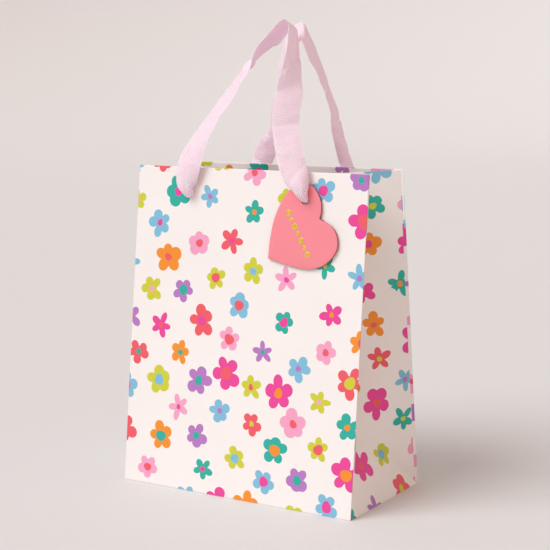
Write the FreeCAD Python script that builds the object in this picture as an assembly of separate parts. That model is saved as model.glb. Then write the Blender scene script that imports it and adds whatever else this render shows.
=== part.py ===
import FreeCAD, Part
import os
import math

# ---------------------------------------------------------------------------
# Paper gift bag with two ribbon handles and a hanging heart tag.
# Frame: origin at the centre of the base, on the surface the bag stands on.
# +X to the right of the front panel, +Y to the back, +Z up. Millimetres.
# ---------------------------------------------------------------------------
BAG_W = 203.0            # width of the front and back panels (8 in)
BAG_D = 108.0            # depth of the base (4.25 in)
BAG_H = 246.5            # height of the panels, measured along the paper (9.7 in)
LEAN = 6.4               # inward lean of the front and back panels, degrees
PAPER_T = 0.35           # laminated art paper
CARD_T = 0.5             # stiffening card under the turned-in top edge
BOARD_T = 1.0            # grey board lying on the bottom
HEM_H = 44.0             # height of the turned-in top edge
CARD_H = 40.0            # height of the stiffening card
HOLE_X = 51.0            # handle holes, from the middle of the panel
HOLE_T = 226.5           # handle holes, up the panel from the base fold
HOLE_R = 2.75            # punched hole
GUSSET_IN = 2.0          # a gusset half turns about a line this far behind the wall's outer face
GUSSET_REACH = 48.3      # how far a gusset half reaches in from that line, clear of the middle fold
FOOT_GAP = 1.7           # clearance beside the diagonal folds
RIBBON_T = 0.7           # twill ribbon
NECK_R = 1.9             # gathered ribbon where it goes through a hole
KNOT_R = 5.2             # overhand knot on the inside
TAG_T = 1.5              # board of the heart tag
TAG_OFF = 0.8            # gap between the panel and the tag
TAG_HOLE_R = 3.3         # hole in the tag
FOIL_T = 0.08            # foil stamped on the tag
AXIS_OFF = 3.5           # the handles fold about a line this far outside the panels

HALF_W = BAG_W / 2.0
HALF_D = BAG_D / 2.0
A = math.radians(LEAN)
SA, CA = math.sin(A), math.cos(A)
V = FreeCAD.Vector

# Folding angle of the lower part of a gusset, from the paper's own geometry:
# the half panels and the foot triangle stay flat and meet on 45 degree folds.
BETA = math.acos((1.0 - SA) / CA)

# Centre line and full width vector of each ribbon, from the left hole to the right.
FRONT_RIBBON = [
    (-51.6, -33.2, 229.6, 9.0, 0.6, 0.8),
    (-53.4, -33.5, 232.6, 12.9, 1.2, 0.8),
    (-51.6, -33.5, 241.9, 18.4, 1.6, -4.5),
    (-48.1, -31.0, 254.0, 19.2, -1.6, -5.5),
    (-44.2, -26.5, 265.9, 18.1, -6.7, -5.2),
    (-39.1, -24.0, 276.0, 15.6, -10.5, -6.8),
    (-32.2, -21.5, 285.8, 14.1, -12.6, -6.6),
    (-25.6, -19.0, 295.1, 14.2, -12.6, -6.2),
    (-19.5, -16.5, 304.7, 14.0, -13.0, -5.9),
    (-13.6, -14.5, 313.6, 12.8, -14.3, -5.5),
    (-7.7, -12.5, 321.7, 9.3, -17.6, -2.0),
    (-2.7, -10.5, 329.2, 9.1, -12.5, -12.7),
    (2.5, -8.5, 334.9, 8.7, -12.0, -13.4),
    (10.4, -6.9, 342.5, 3.9, -10.8, -16.4),
    (17.4, -6.0, 346.5, 3.2, -10.3, -16.9),
    (20.8, -6.2, 343.2, -0.7, -10.5, -17.0),
    (24.0, -7.4, 336.3, -4.8, -11.7, -15.5),
    (26.2, -9.2, 326.7, -8.1, -12.9, -12.9),
    (27.9, -11.5, 316.5, -11.6, -12.9, -10.0),
    (28.9, -14.2, 307.2, -14.0, -11.9, -8.0),
    (30.0, -19.0, 295.7, -15.5, -12.5, 0.5),
    (29.9, -23.0, 285.0, -16.9, -10.5, 2.1),
    (32.7, -27.0, 273.7, -16.7, -10.8, -1.9),
    (37.9, -31.5, 262.5, -16.7, -10.5, -3.4),
    (42.8, -35.5, 250.7, -16.7, -9.9, -4.7),
    (47.4, -37.0, 240.2, -14.4, -7.1, -5.7),
    (49.9, -35.6, 232.9, -9.2, -2.1, -3.2),
    (50.6, -34.4, 229.8, -6.5, -1.2, -2.0),
]
BACK_RIBBON = [
    (-45.5, 33.6, 229.8, 5.5, -3.0, -6.0),
    (-38.0, 34.5, 234.0, 8.0, -3.6, -9.6),
    (-28.9, 33.0, 243.1, 14.8, -0.2, -11.9),
    (-21.6, 30.5, 254.5, 16.0, -1.5, -11.9),
    (-10.8, 27.0, 268.1, 15.0, -5.3, -12.2),
    (-1.9, 23.0, 281.9, 13.9, -10.4, -9.9),
    (2.6, 19.5, 295.0, 12.8, -13.2, -7.9),
    (6.4, 16.0, 307.1, 10.9, -15.0, -7.5),
    (10.2, 13.0, 319.2, 8.3, -16.8, -7.0),
    (13.1, 8.7, 334.8, 8.0, -9.9, -15.5),
    (17.9, 9.0, 343.5, 7.3, -11.5, -14.7),
    (23.9, 9.6, 345.9, 6.1, -13.2, -13.7),
    (27.0, 10.0, 342.3, 5.9, -13.0, -14.0),
    (30.3, 11.5, 335.2, 6.1, -13.9, -13.0),
    (33.6, 13.0, 326.7, 6.5, -15.1, -11.4),
    (37.5, 14.5, 316.6, 5.2, -19.2, -1.9),
    (40.9, 17.0, 305.8, 4.9, -19.0, -3.8),
    (42.8, 20.0, 296.2, 3.8, -17.9, -5.3),
    (43.7, 24.0, 284.1, 2.8, -17.0, -5.2),
    (45.3, 28.0, 271.3, 2.5, -15.9, -5.4),
    (47.0, 33.5, 257.5, 1.6, -13.1, -4.8),
    (48.6, 38.0, 245.1, 0.6, -12.0, -0.7),
    (51.4, 36.4, 236.0, -4.9, -7.2, 2.3),
    (51.0, 34.4, 230.4, -5.8, -2.0, 1.1),
]

# Outline of the heart tag in its own plane: (x, t) on the front panel, clockwise
# from the tip. It hangs by a hole in its upper lobe.
HEART = [
    (21.9, 182.3), (22.9, 196.7), (25.2, 210.0), (29.6, 221.5), (35.4, 231.0),
    (42.2, 236.8), (49.8, 238.6), (56.6, 236.6), (61.2, 231.6), (64.0, 226.0),
    (64.8, 219.6), (63.6, 213.4), (68.6, 211.4), (74.4, 208.2), (77.9, 203.6),
    (79.6, 197.9), (79.2, 192.6), (75.8, 186.4), (69.6, 180.8), (62.8, 178.0),
    (53.8, 176.8), (44.4, 177.6), (31.0, 180.2),
]

os.makedirs("parts", exist_ok=True)


def save(name, shape):
    if not shape.isValid():
        raise ValueError(name + " isn't valid")
    shape.exportStep("parts/" + name + ".step")
    print(name, "volume", round(shape.Volume, 1), "solids", len(shape.Solids))


def on_wall(side, shape):
    """Moves a shape modelled with x across, y up the paper and z outward onto a wall (+1 front, -1 back)."""
    ex = V(side, 0, 0) if side < 0 else V(1, 0, 0)
    ey = V(0, SA * side, CA)
    ez = V(0, -CA * side, SA)
    m = FreeCAD.Matrix(
        ex.x, ey.x, ez.x, 0,
        ex.y, ey.y, ez.y, -HALF_D * side,
        ex.z, ey.z, ez.z, 0,
        0, 0, 0, 1)
    s = shape.copy()
    s.Placement = FreeCAD.Placement(m)
    return s


def plate(x0, x1, t0, t1, n0, n1, holes=0.0):
    """A flat strip in wall coordinates, with a punched hole at each handle position if asked."""
    s = Part.makeBox(x1 - x0, t1 - t0, n1 - n0, V(x0, t0, n0))
    if holes > 0:
        for hx in (-HOLE_X, HOLE_X):
            s = s.cut(Part.makeCylinder(holes, n1 - n0 + 4, V(hx, HOLE_T, n0 - 2), V(0, 0, 1)))
    return s


def polyhedron(points, triangles):
    """A closed solid from points and triangles."""
    faces = []
    for a, b, c in triangles:
        p, q, r = points[a], points[b], points[c]
        if (q - p).cross(r - p).Length < 1e-6:
            continue
        faces.append(Part.Face(Part.makePolygon([p, q, r, p])))
    shell = Part.Shell(faces)
    shell.sewShape()
    solid = Part.Solid(shell)
    if solid.Volume < 0:
        solid.reverse()
    if solid.Volume < 0:
        solid = Part.Solid(Part.Shell([f.reversed() for f in faces]))
    return solid


def gusset_angle(t):
    """How far a gusset half is folded in at height t up the paper."""
    if t <= HALF_D:
        return BETA
    return math.acos(min(1.0, (HALF_D - t * SA) / (HALF_D * CA)))


def gusset_point(sx, sy, t, r, n):
    """A point on a gusset half: sx right +1 or left -1, sy front -1 or back +1,
    t up the paper, r in from the wall's edge, n outward from the paper."""
    g = gusset_angle(t)
    sg, cg = math.sin(g), math.cos(g)
    x = HALF_W - r * sg + n * cg
    inward = GUSSET_IN + r * cg + n * sg
    y = HALF_D - t * SA - inward * CA
    z = t * CA - inward * SA
    return V(x * sx, y * sy, z)


def gusset_half(sx, sy, t_low, t_high, columns, n0, n1):
    """A strip of a gusset half between two heights, its lower edge on the diagonal fold if that is higher.
    The columns are distances in from the wall's edge: strips glued to each other share them."""
    levels = [t_low]
    for t in (HALF_D, 90.0, 130.0, 175.0, 202.5, BAG_H):
        if t > levels[-1] + 4 and t < t_high - 4:
            levels.append(t)
    levels.append(t_high)
    m = len(columns)
    rows = []
    for t in levels:
        rows.append([(max(t, r + FOOT_GAP) if t < HALF_D else t, r) for r in columns])
    pts = []
    for off in (n0, n1):
        for row in rows:
            for t, r in row:
                pts.append(gusset_point(sx, sy, t, r, off))
    k = len(rows)
    idx = lambda layer, i, j: layer * k * m + i * m + j
    tris = []
    for i in range(k - 1):
        for j in range(m - 1):
            for layer in (0, 1):
                a, b, c, d = idx(layer, i, j), idx(layer, i, j + 1), idx(layer, i + 1, j + 1), idx(layer, i + 1, j)
                tris += [(a, b, c), (a, c, d)]
    for j in range(m - 1):
        for i in (0, k - 1):
            a, b, c, d = idx(0, i, j), idx(0, i, j + 1), idx(1, i, j + 1), idx(1, i, j)
            tris += [(a, b, c), (a, c, d)]
    for i in range(k - 1):
        for j in (0, m - 1):
            a, b, c, d = idx(0, i, j), idx(0, i + 1, j), idx(1, i + 1, j), idx(1, i, j)
            tris += [(a, b, c), (a, c, d)]
    return polyhedron(pts, tris)


def foot_triangle(sx):
    """The triangle between a gusset's two diagonal folds and the base."""
    s0 = 0.8
    flat = [(-HALF_D + s0 + FOOT_GAP, s0), (HALF_D - s0 - FOOT_GAP, s0), (0.0, HALF_D - FOOT_GAP)]
    sb, cb = math.sin(BETA), math.cos(BETA)
    pts = []
    for off in (0.0, PAPER_T):
        for y, s in flat:
            pts.append(V((HALF_W - s * sb - off * cb) * sx, y, s * cb - off * sb))
    tris = [(0, 1, 2), (3, 5, 4)]
    for i in range(3):
        j = (i + 1) % 3
        tris += [(i, j, j + 3), (i, j + 3, i + 3)]
    return polyhedron(pts, tris)


def ribbon(stations):
    """A twisting strip through the stations, RIBBON_T thick."""
    n = len(stations)
    centre = [V(*s[:3]) for s in stations]
    half = [V(*s[3:6]) * 0.5 for s in stations]
    pts = []
    for i in range(n):
        run = centre[min(i + 1, n - 1)] - centre[max(i - 1, 0)]
        k = run.cross(half[i]).normalize() * (RIBBON_T / 2)
        pts += [centre[i] - half[i] - k, centre[i] + half[i] - k,
                centre[i] + half[i] + k, centre[i] - half[i] + k]
    tris = [(0, 1, 2), (0, 2, 3)]
    for i in range(n - 1):
        a, b = 4 * i, 4 * i + 4
        for k in range(4):
            j = (k + 1) % 4
            tris += [(a + k, a + j, b + j), (a + k, b + j, b + k)]
    e = 4 * (n - 1)
    tris += [(e, e + 2, e + 1), (e, e + 3, e + 2)]
    return polyhedron(pts, tris)


def knot(side, hx, reach):
    """A knot inside the wall and the gathered neck of ribbon through its hole, in wall coordinates."""
    stack = 2 * PAPER_T + CARD_T
    middle = -stack - 0.35 - KNOT_R * 0.8
    ball = Part.makeSphere(KNOT_R, V(0, 0, 0))
    flat = FreeCAD.Matrix()
    flat.scale(1.0, 0.86, 0.8)
    ball = ball.transformGeometry(flat)
    ball.translate(V(hx, HOLE_T, middle))
    neck = Part.makeCylinder(NECK_R, reach - middle, V(hx, HOLE_T, middle), V(0, 0, 1))
    tail = Part.makeCylinder(2.6, 9.0, V(hx, HOLE_T - 1.0, middle), V(0.25, -1, 0.0))
    return on_wall(side, ball.fuse([neck, tail]).removeSplitter())


# ---------------------------------------------------------------------------
# Base: four glued bottom flaps and a loose board on top of them
# ---------------------------------------------------------------------------
inner_x = HALF_W - 1.9
front_flap = Part.makeBox(2 * HALF_W - 0.6, HALF_D - 0.6 + 14.0, PAPER_T, V(-HALF_W + 0.3, -HALF_D + 0.6, 0))
save("bottom_flap_front", front_flap)
back_low = Part.makeBox(2 * HALF_W - 0.6, HALF_D - 0.6 - 14.3, PAPER_T, V(-HALF_W + 0.3, 14.3, 0))
back_lap = Part.makeBox(2 * inner_x, 28.6, PAPER_T, V(-inner_x, -14.0, PAPER_T))
save("bottom_flap_back", back_low.fuse(back_lap).removeSplitter())
for name, sx in (("bottom_flap_right", 1), ("bottom_flap_left", -1)):
    z = 2 * PAPER_T
    outline = [V(sx * inner_x, -HALF_D + 1.4, z), V(sx * inner_x, HALF_D - 1.4, z),
               V(sx * (inner_x - 46), 16.0, z), V(sx * (inner_x - 46), -16.0, z)]
    save(name, Part.Face(Part.makePolygon(outline + [outline[0]])).extrude(V(0, 0, PAPER_T)))
board = Part.makeBox(2 * 98.5, 2 * 52.0, BOARD_T, V(-98.5, -52.0, 3 * PAPER_T))
board = board.makeFillet(3.0, [e for e in board.Edges if abs(e.Vertexes[0].Z - e.Vertexes[1].Z) > 0.5])
save("base_board", board)

# ---------------------------------------------------------------------------
# Front and back walls: panel, stiffening card and turned-in top edge
# ---------------------------------------------------------------------------
for word, side in (("front", 1), ("back", -1)):
    panel = plate(-HALF_W + 0.4, HALF_W - 0.4, 0.8, BAG_H, -PAPER_T, 0.0, HOLE_R)
    save(word + "_panel", on_wall(side, panel))
    card = plate(-HALF_W + 3.0, HALF_W - 3.0, BAG_H - CARD_H, BAG_H - 1.0,
                 -PAPER_T - CARD_T, -PAPER_T, HOLE_R)
    save(word + "_stiffening_card", on_wall(side, card))
    turn = plate(-HALF_W + 1.4, HALF_W - 1.4, BAG_H - HEM_H, BAG_H,
                 -2 * PAPER_T - CARD_T, -PAPER_T - CARD_T, HOLE_R)
    cap = plate(-HALF_W + 1.4, HALF_W - 1.4, BAG_H, BAG_H + PAPER_T, -2 * PAPER_T - CARD_T, 0.0)
    save(word + "_top_hem", on_wall(side, turn.fuse(cap).removeSplitter()))

# ---------------------------------------------------------------------------
# Side gussets: two folded halves and a foot triangle on each side
# ---------------------------------------------------------------------------
r_in, r_out = 0.5, GUSSET_REACH
columns = [r_in, r_in + 1.6, 16.0, HALF_D / 2, r_out - 0.6, r_out]
for word, sx in (("right", 1), ("left", -1)):
    for end, sy in (("front", -1), ("back", 1)):
        save("%s_gusset_%s_half" % (word, end),
             gusset_half(sx, sy, 2.6, BAG_H, columns, -PAPER_T, 0.0))
        save("%s_gusset_%s_hem" % (word, end),
             gusset_half(sx, sy, BAG_H - HEM_H, BAG_H, columns[1:-1],
                         -2 * PAPER_T, -PAPER_T))
    save("%s_gusset_foot" % word, foot_triangle(sx))
save("side_glue_flap", gusset_half(1, 1, 22.0, BAG_H - HEM_H, columns[1:3],
                                   -2 * PAPER_T, -PAPER_T))

# ---------------------------------------------------------------------------
# Handles: one ribbon on each wall, its ends gathered through the holes and
# knotted inside
# ---------------------------------------------------------------------------
save("front_ribbon_handle", ribbon(FRONT_RIBBON))
save("back_ribbon_handle", ribbon(BACK_RIBBON))
for word, side in (("front", 1), ("back", -1)):
    for hand, hx in (("left", -HOLE_X), ("right", HOLE_X)):
        save("%s_%s_knot" % (word, hand), knot(side, hx * side, TAG_OFF + TAG_T + 0.5))

# ---------------------------------------------------------------------------
# Heart tag, hanging on the front ribbon at the right hole
# ---------------------------------------------------------------------------
heart = []
for i in range(len(HEART)):
    p, q, r, s = (HEART[(i + k) % len(HEART)] for k in (-1, 0, 1, 2))
    sharp = [(21.9, 182.3), (63.6, 213.4)]
    for u in (0.0, 0.25, 0.5, 0.75):
        if q in sharp or r in sharp:
            heart.append((q[0] + (r[0] - q[0]) * u, q[1] + (r[1] - q[1]) * u))
            continue
        heart.append(tuple(
            0.5 * (2 * q[k] + (r[k] - p[k]) * u + (2 * p[k] - 5 * q[k] + 4 * r[k] - s[k]) * u * u
                   + (3 * q[k] - p[k] - 3 * r[k] + s[k]) * u ** 3) for k in (0, 1)))
wire = Part.makePolygon([V(x, t, TAG_OFF) for x, t in heart + [heart[0]]])
tag = Part.Face(wire).extrude(V(0, 0, TAG_T))
tag = tag.cut(Part.makeCylinder(TAG_HOLE_R, TAG_T + 4, V(HOLE_X, HOLE_T, TAG_OFF - 2), V(0, 0, 1)))
save("heart_tag", on_wall(1, tag))
dots = []
for k in range(7):
    u = k / 6.0
    dots.append(Part.makeCylinder(1.7, FOIL_T, V(37.6 + 17.6 * u, 216.5 - 29.4 * u, TAG_OFF + TAG_T), V(0, 0, 1)))
save("tag_foil_dots", on_wall(1, Part.makeCompound(dots)))
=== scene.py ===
import math
import random
import bpy
import numpy as np
from mathutils import Matrix, Vector, noise
from mathutils.geometry import delaunay_2d_cdt


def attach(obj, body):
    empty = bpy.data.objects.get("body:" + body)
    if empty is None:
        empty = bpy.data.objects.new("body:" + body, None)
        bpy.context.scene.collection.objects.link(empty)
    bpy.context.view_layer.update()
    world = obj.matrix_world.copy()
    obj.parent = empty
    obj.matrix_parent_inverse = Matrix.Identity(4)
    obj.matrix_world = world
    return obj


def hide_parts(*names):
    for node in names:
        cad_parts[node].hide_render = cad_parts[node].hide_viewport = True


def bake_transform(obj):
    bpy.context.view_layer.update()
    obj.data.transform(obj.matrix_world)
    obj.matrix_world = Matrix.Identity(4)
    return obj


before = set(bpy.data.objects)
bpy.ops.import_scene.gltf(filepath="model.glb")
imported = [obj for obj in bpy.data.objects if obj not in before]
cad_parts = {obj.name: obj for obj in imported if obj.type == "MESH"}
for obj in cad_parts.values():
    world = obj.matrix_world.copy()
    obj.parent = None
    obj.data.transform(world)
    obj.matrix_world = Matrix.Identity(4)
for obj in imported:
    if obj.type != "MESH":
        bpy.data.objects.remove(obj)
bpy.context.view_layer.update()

scene = bpy.context.scene

# --------------------------------------------------------------------------
# Driving sizes, in metres, the same as the CAD part's
# --------------------------------------------------------------------------
HW, HD, H = 0.1015, 0.054, 0.2465
LEAN = math.radians(6.4)
SA, CA = math.sin(LEAN), math.cos(LEAN)
BETA = math.acos((1.0 - SA) / CA)
T = 0.00035
CARD = 0.0005
HEM = 0.044
HOLE_X, HOLE_T, HOLE_R = 0.051, 0.2265, 0.00275
MM = 0.001


def srgb(r, g, b):
    def f(c):
        c /= 255.0
        return c / 12.92 if c <= 0.04045 else ((c + 0.055) / 1.055) ** 2.4
    return (f(r), f(g), f(b), 1.0)


# --------------------------------------------------------------------------
# Camera, lights, floor
# --------------------------------------------------------------------------
def make_camera():
    az, el, roll = math.radians(31.9493), math.radians(8.7591), math.radians(-0.3653)
    back = Vector((math.sin(az) * math.cos(el), -math.cos(az) * math.cos(el), math.sin(el)))
    right = (-back).cross(Vector((0, 0, 1))).normalized()
    up = right.cross(-back)
    r2 = right * math.cos(roll) + up * math.sin(roll)
    u2 = -right * math.sin(roll) + up * math.cos(roll)
    data = bpy.data.cameras.new("camera")
    data.lens = 93.989
    data.sensor_width = 36.0
    data.sensor_fit = "HORIZONTAL"
    data.clip_start = 0.01
    data.clip_end = 60.0
    cam = bpy.data.objects.new("camera", data)
    scene.collection.objects.link(cam)
    m = Matrix((r2, u2, back)).transposed().to_4x4()
    m.translation = Vector((0.578245, -0.918131, 0.329809))
    cam.matrix_world = m
    scene.camera = cam


def area_light(name, place, target, size, power, colour):
    data = bpy.data.lights.new(name, "AREA")
    data.shape = "DISK"
    data.size = size
    data.energy = power
    data.color = colour
    ob = bpy.data.objects.new(name, data)
    scene.collection.objects.link(ob)
    d = Vector(target) - Vector(place)
    ob.location = place
    ob.rotation_euler = d.to_track_quat("-Z", "Y").to_euler()
    return ob


def make_stage():
    n, rows = 96, []
    radii = [0.0, 0.4, 1.0, 2.0, 3.0, 3.6]
    profile = [(r, 0.0) for r in radii]
    for k in range(1, 15):
        a = math.pi / 2 * k / 14
        profile.append((3.6 + 1.6 * math.sin(a), 1.6 - 1.6 * math.cos(a)))
    verts, faces = [(0, 0, 0)], []
    for r, z in profile[1:]:
        rows.append(len(verts))
        for i in range(n):
            t = 2 * math.pi * i / n
            verts.append((r * math.cos(t), r * math.sin(t), z))
    for i in range(n):
        faces.append((0, rows[0] + i, rows[0] + (i + 1) % n))
    for a, b in zip(rows, rows[1:]):
        for i in range(n):
            j = (i + 1) % n
            faces.append((a + i, b + i, b + j, a + j))
    me = bpy.data.meshes.new("floor")
    me.from_pydata(verts, [], faces)
    me.polygons.foreach_set("use_smooth", [True] * len(me.polygons))
    ob = bpy.data.objects.new("floor", me)
    scene.collection.objects.link(ob)
    mat = bpy.data.materials.new("studio_floor")
    mat.use_nodes = True
    b = mat.node_tree.nodes["Principled BSDF"]
    b.inputs["Base Color"].default_value = srgb(226, 225, 224)
    b.inputs["Roughness"].default_value = 0.85
    b.inputs["Specular IOR Level"].default_value = 0.2
    me.materials.append(mat)
    world = bpy.data.worlds.new("studio")
    world.use_nodes = True
    bg = world.node_tree.nodes["Background"]
    # the fill is warmer on the side away from the key, as in a room with a warm wall there
    tree = world.node_tree
    where = tree.nodes.new("ShaderNodeTexCoord")
    split = tree.nodes.new("ShaderNodeSeparateXYZ")
    side = tree.nodes.new("ShaderNodeMapRange")
    ramp = tree.nodes.new("ShaderNodeValToRGB")
    side.inputs["From Min"].default_value = 0.0
    side.inputs["From Max"].default_value = 0.7
    ramp.color_ramp.elements[0].color = (1.0, 0.94, 0.92, 1.0)
    ramp.color_ramp.elements[1].color = (1.03, 0.66, 0.50, 1.0)
    tree.links.new(where.outputs["Generated"], split.inputs["Vector"])
    tree.links.new(split.outputs["X"], side.inputs["Value"])
    tree.links.new(side.outputs["Result"], ramp.inputs["Fac"])
    tree.links.new(ramp.outputs["Color"], bg.inputs["Color"])
    bg.inputs["Strength"].default_value = 0.56
    scene.world = world
    key = bpy.data.lights.new("key_light", "SUN")
    key.energy = 1.88
    key.angle = math.radians(40)
    key.color = (0.97, 1.0, 1.03)
    sun = bpy.data.objects.new("key_light", key)
    sun.rotation_euler = Vector((1.05, 1.75, -2.15)).to_track_quat("-Z", "Y").to_euler()
    scene.collection.objects.link(sun)
    scene.view_settings.view_transform = "Standard"
    scene.view_settings.look = "None"


make_camera()
make_stage()


# --------------------------------------------------------------------------
# Materials
# --------------------------------------------------------------------------
def node(nt, kind, **values):
    n = nt.nodes.new(kind)
    for k, v in values.items():
        if k in n.inputs:
            n.inputs[k].default_value = v
        else:
            setattr(n, k, v)
    return n


def new_material(name):
    mat = bpy.data.materials.new(name)
    mat.use_nodes = True
    return mat, mat.node_tree, mat.node_tree.nodes["Principled BSDF"]


def ramp(nt, stops):
    r = nt.nodes.new("ShaderNodeValToRGB")
    while len(r.color_ramp.elements) < len(stops):
        r.color_ramp.elements.new(0.5)
    for e, (p, c) in zip(r.color_ramp.elements, stops):
        e.position = p
        e.color = c if len(c) == 4 else (*c, 1.0)
    return r


def grey(v):
    return (v, v, v, 1.0)


def paper_material(name, colour=None, fibre=0.03, rough=(0.44, 0.56), bump=0.10, mottling=0.02):
    """Art paper. The colour comes from the sheet's own ink attribute, or is one stock colour."""
    mat, nt, bsdf = new_material(name)
    co = node(nt, "ShaderNodeTexCoord")
    if colour is None:
        ink = node(nt, "ShaderNodeAttribute", attribute_name="ink", attribute_type="GEOMETRY")
        base = ink.outputs["Color"]
    else:
        stock = node(nt, "ShaderNodeRGB")
        stock.outputs[0].default_value = colour
        base = stock.outputs[0]
    fine = node(nt, "ShaderNodeTexNoise", Scale=1400.0, Detail=5.0, Roughness=0.65)
    nt.links.new(co.outputs["Object"], fine.inputs["Vector"])
    wide = node(nt, "ShaderNodeTexNoise", Scale=26.0, Detail=3.0, Roughness=0.5)
    nt.links.new(co.outputs["Object"], wide.inputs["Vector"])
    r1 = ramp(nt, [(0.25, grey(1.0 - fibre)), (0.75, grey(1.0))])
    nt.links.new(fine.outputs["Fac"], r1.inputs["Fac"])
    r2 = ramp(nt, [(0.3, grey(1.0 - mottling)), (0.7, grey(1.0))])
    nt.links.new(wide.outputs["Fac"], r2.inputs["Fac"])
    m1 = node(nt, "ShaderNodeMix", data_type="RGBA", blend_type="MULTIPLY")
    m1.inputs[0].default_value = 1.0
    nt.links.new(base, m1.inputs[6])
    nt.links.new(r1.outputs["Color"], m1.inputs[7])
    m2 = node(nt, "ShaderNodeMix", data_type="RGBA", blend_type="MULTIPLY")
    m2.inputs[0].default_value = 1.0
    nt.links.new(m1.outputs[2], m2.inputs[6])
    nt.links.new(r2.outputs["Color"], m2.inputs[7])
    nt.links.new(m2.outputs[2], bsdf.inputs["Base Color"])
    mr = node(nt, "ShaderNodeMapRange")
    mr.inputs["From Min"].default_value = 0.3
    mr.inputs["From Max"].default_value = 0.7
    mr.inputs["To Min"].default_value = rough[0]
    mr.inputs["To Max"].default_value = rough[1]
    nt.links.new(fine.outputs["Fac"], mr.inputs["Value"])
    nt.links.new(mr.outputs["Result"], bsdf.inputs["Roughness"])
    b1 = node(nt, "ShaderNodeBump", Strength=bump, Distance=0.00012)
    nt.links.new(fine.outputs["Fac"], b1.inputs["Height"])
    b2 = node(nt, "ShaderNodeBump", Strength=0.25, Distance=0.0004)
    nt.links.new(wide.outputs["Fac"], b2.inputs["Height"])
    nt.links.new(b1.outputs["Normal"], b2.inputs["Normal"])
    nt.links.new(b2.outputs["Normal"], bsdf.inputs["Normal"])
    bsdf.inputs["Specular IOR Level"].default_value = 0.32
    return mat


def ribbon_material(name):
    """Light pink herringbone twill: columns of slanting ribs, from the weave coordinates along and across."""
    mat, nt, bsdf = new_material(name)
    at = node(nt, "ShaderNodeAttribute", attribute_name="weave", attribute_type="GEOMETRY")
    sep = node(nt, "ShaderNodeSeparateXYZ")
    nt.links.new(at.outputs["Vector"], sep.inputs[0])

    def math_node(op, a, b=None, c=None):
        m = nt.nodes.new("ShaderNodeMath")
        m.operation = op
        for i, v in enumerate((a, b, c)):
            if v is None:
                continue
            if isinstance(v, (int, float)):
                m.inputs[i].default_value = v
            else:
                nt.links.new(v, m.inputs[i])
        return m.outputs[0]

    along, across = sep.outputs[0], sep.outputs[1]          # millimetres
    fold = math_node("PINGPONG", across, 6.67)
    phase = math_node("ADD", along, math_node("MULTIPLY", fold, 0.85))
    ribs = math_node("SINE", math_node("MULTIPLY", phase, 2 * math.pi / 1.95))
    warp = math_node("SINE", math_node("MULTIPLY", across, 2 * math.pi / 0.42))
    weft = math_node("SINE", math_node("MULTIPLY", along, 2 * math.pi / 0.36))
    cross = math_node("MULTIPLY", warp, weft)
    height = math_node("ADD", math_node("MULTIPLY", ribs, 0.72), math_node("MULTIPLY", cross, 0.22))
    level = math_node("MULTIPLY_ADD", height, 0.5, 0.5)
    fuzz = node(nt, "ShaderNodeTexNoise", Scale=900.0, Detail=4.0, Roughness=0.7)
    co = node(nt, "ShaderNodeTexCoord")
    nt.links.new(co.outputs["Object"], fuzz.inputs["Vector"])
    tone = ramp(nt, [(0.0, srgb(242, 198, 220)), (0.45, srgb(253, 227, 240)), (1.0, srgb(255, 247, 252))])
    # the band's edges are lighter: the selvedge's own tone plus a painted highlight along each edge; the same strip
    # also raises the bump
    middle = math_node("ABSOLUTE", math_node("SUBTRACT", across, 10.0))
    selvedge_and_painted_highlight = math_node("SMOOTH_MIN", math_node("MAXIMUM", math_node("MULTIPLY", math_node("SUBTRACT", middle, 9.15), 1.6), 0.0), 1.0, 0.1)
    nt.links.new(math_node("ADD", level, math_node("MULTIPLY", selvedge_and_painted_highlight, 0.5)), tone.inputs["Fac"])
    rf = ramp(nt, [(0.3, grey(0.93)), (0.7, grey(1.0))])
    nt.links.new(fuzz.outputs["Fac"], rf.inputs["Fac"])
    mul = node(nt, "ShaderNodeMix", data_type="RGBA", blend_type="MULTIPLY")
    mul.inputs[0].default_value = 1.0
    nt.links.new(tone.outputs["Color"], mul.inputs[6])
    nt.links.new(rf.outputs["Color"], mul.inputs[7])
    nt.links.new(mul.outputs[2], bsdf.inputs["Base Color"])
    mr = node(nt, "ShaderNodeMapRange")
    mr.inputs["To Min"].default_value = 0.88
    mr.inputs["To Max"].default_value = 0.66
    nt.links.new(level, mr.inputs["Value"])
    nt.links.new(mr.outputs["Result"], bsdf.inputs["Roughness"])
    b1 = node(nt, "ShaderNodeBump", Strength=0.55, Distance=0.00022)
    nt.links.new(math_node("ADD", height, math_node("MULTIPLY", selvedge_and_painted_highlight, 1.3)), b1.inputs["Height"])
    b2 = node(nt, "ShaderNodeBump", Strength=0.12, Distance=0.0001)
    nt.links.new(fuzz.outputs["Fac"], b2.inputs["Height"])
    nt.links.new(b1.outputs["Normal"], b2.inputs["Normal"])
    nt.links.new(b2.outputs["Normal"], bsdf.inputs["Normal"])
    bsdf.inputs["Specular IOR Level"].default_value = 0.25
    # painted light: a faint pink glow lifts the band's shaded parts, standing in for light let through the thin weave
    bsdf.inputs["Emission Color"].default_value = srgb(255, 176, 208)
    bsdf.inputs["Emission Strength"].default_value = 0.07
    bsdf.inputs["Sheen Weight"].default_value = 0.35
    bsdf.inputs["Sheen Roughness"].default_value = 0.45
    bsdf.inputs["Sheen Tint"].default_value = srgb(255, 214, 232)
    bsdf.inputs["Subsurface Weight"].default_value = 0.55
    bsdf.inputs["Subsurface Scale"].default_value = 0.0022
    bsdf.inputs["Subsurface Radius"].default_value = (1.0, 0.62, 0.78)
    return mat


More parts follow.
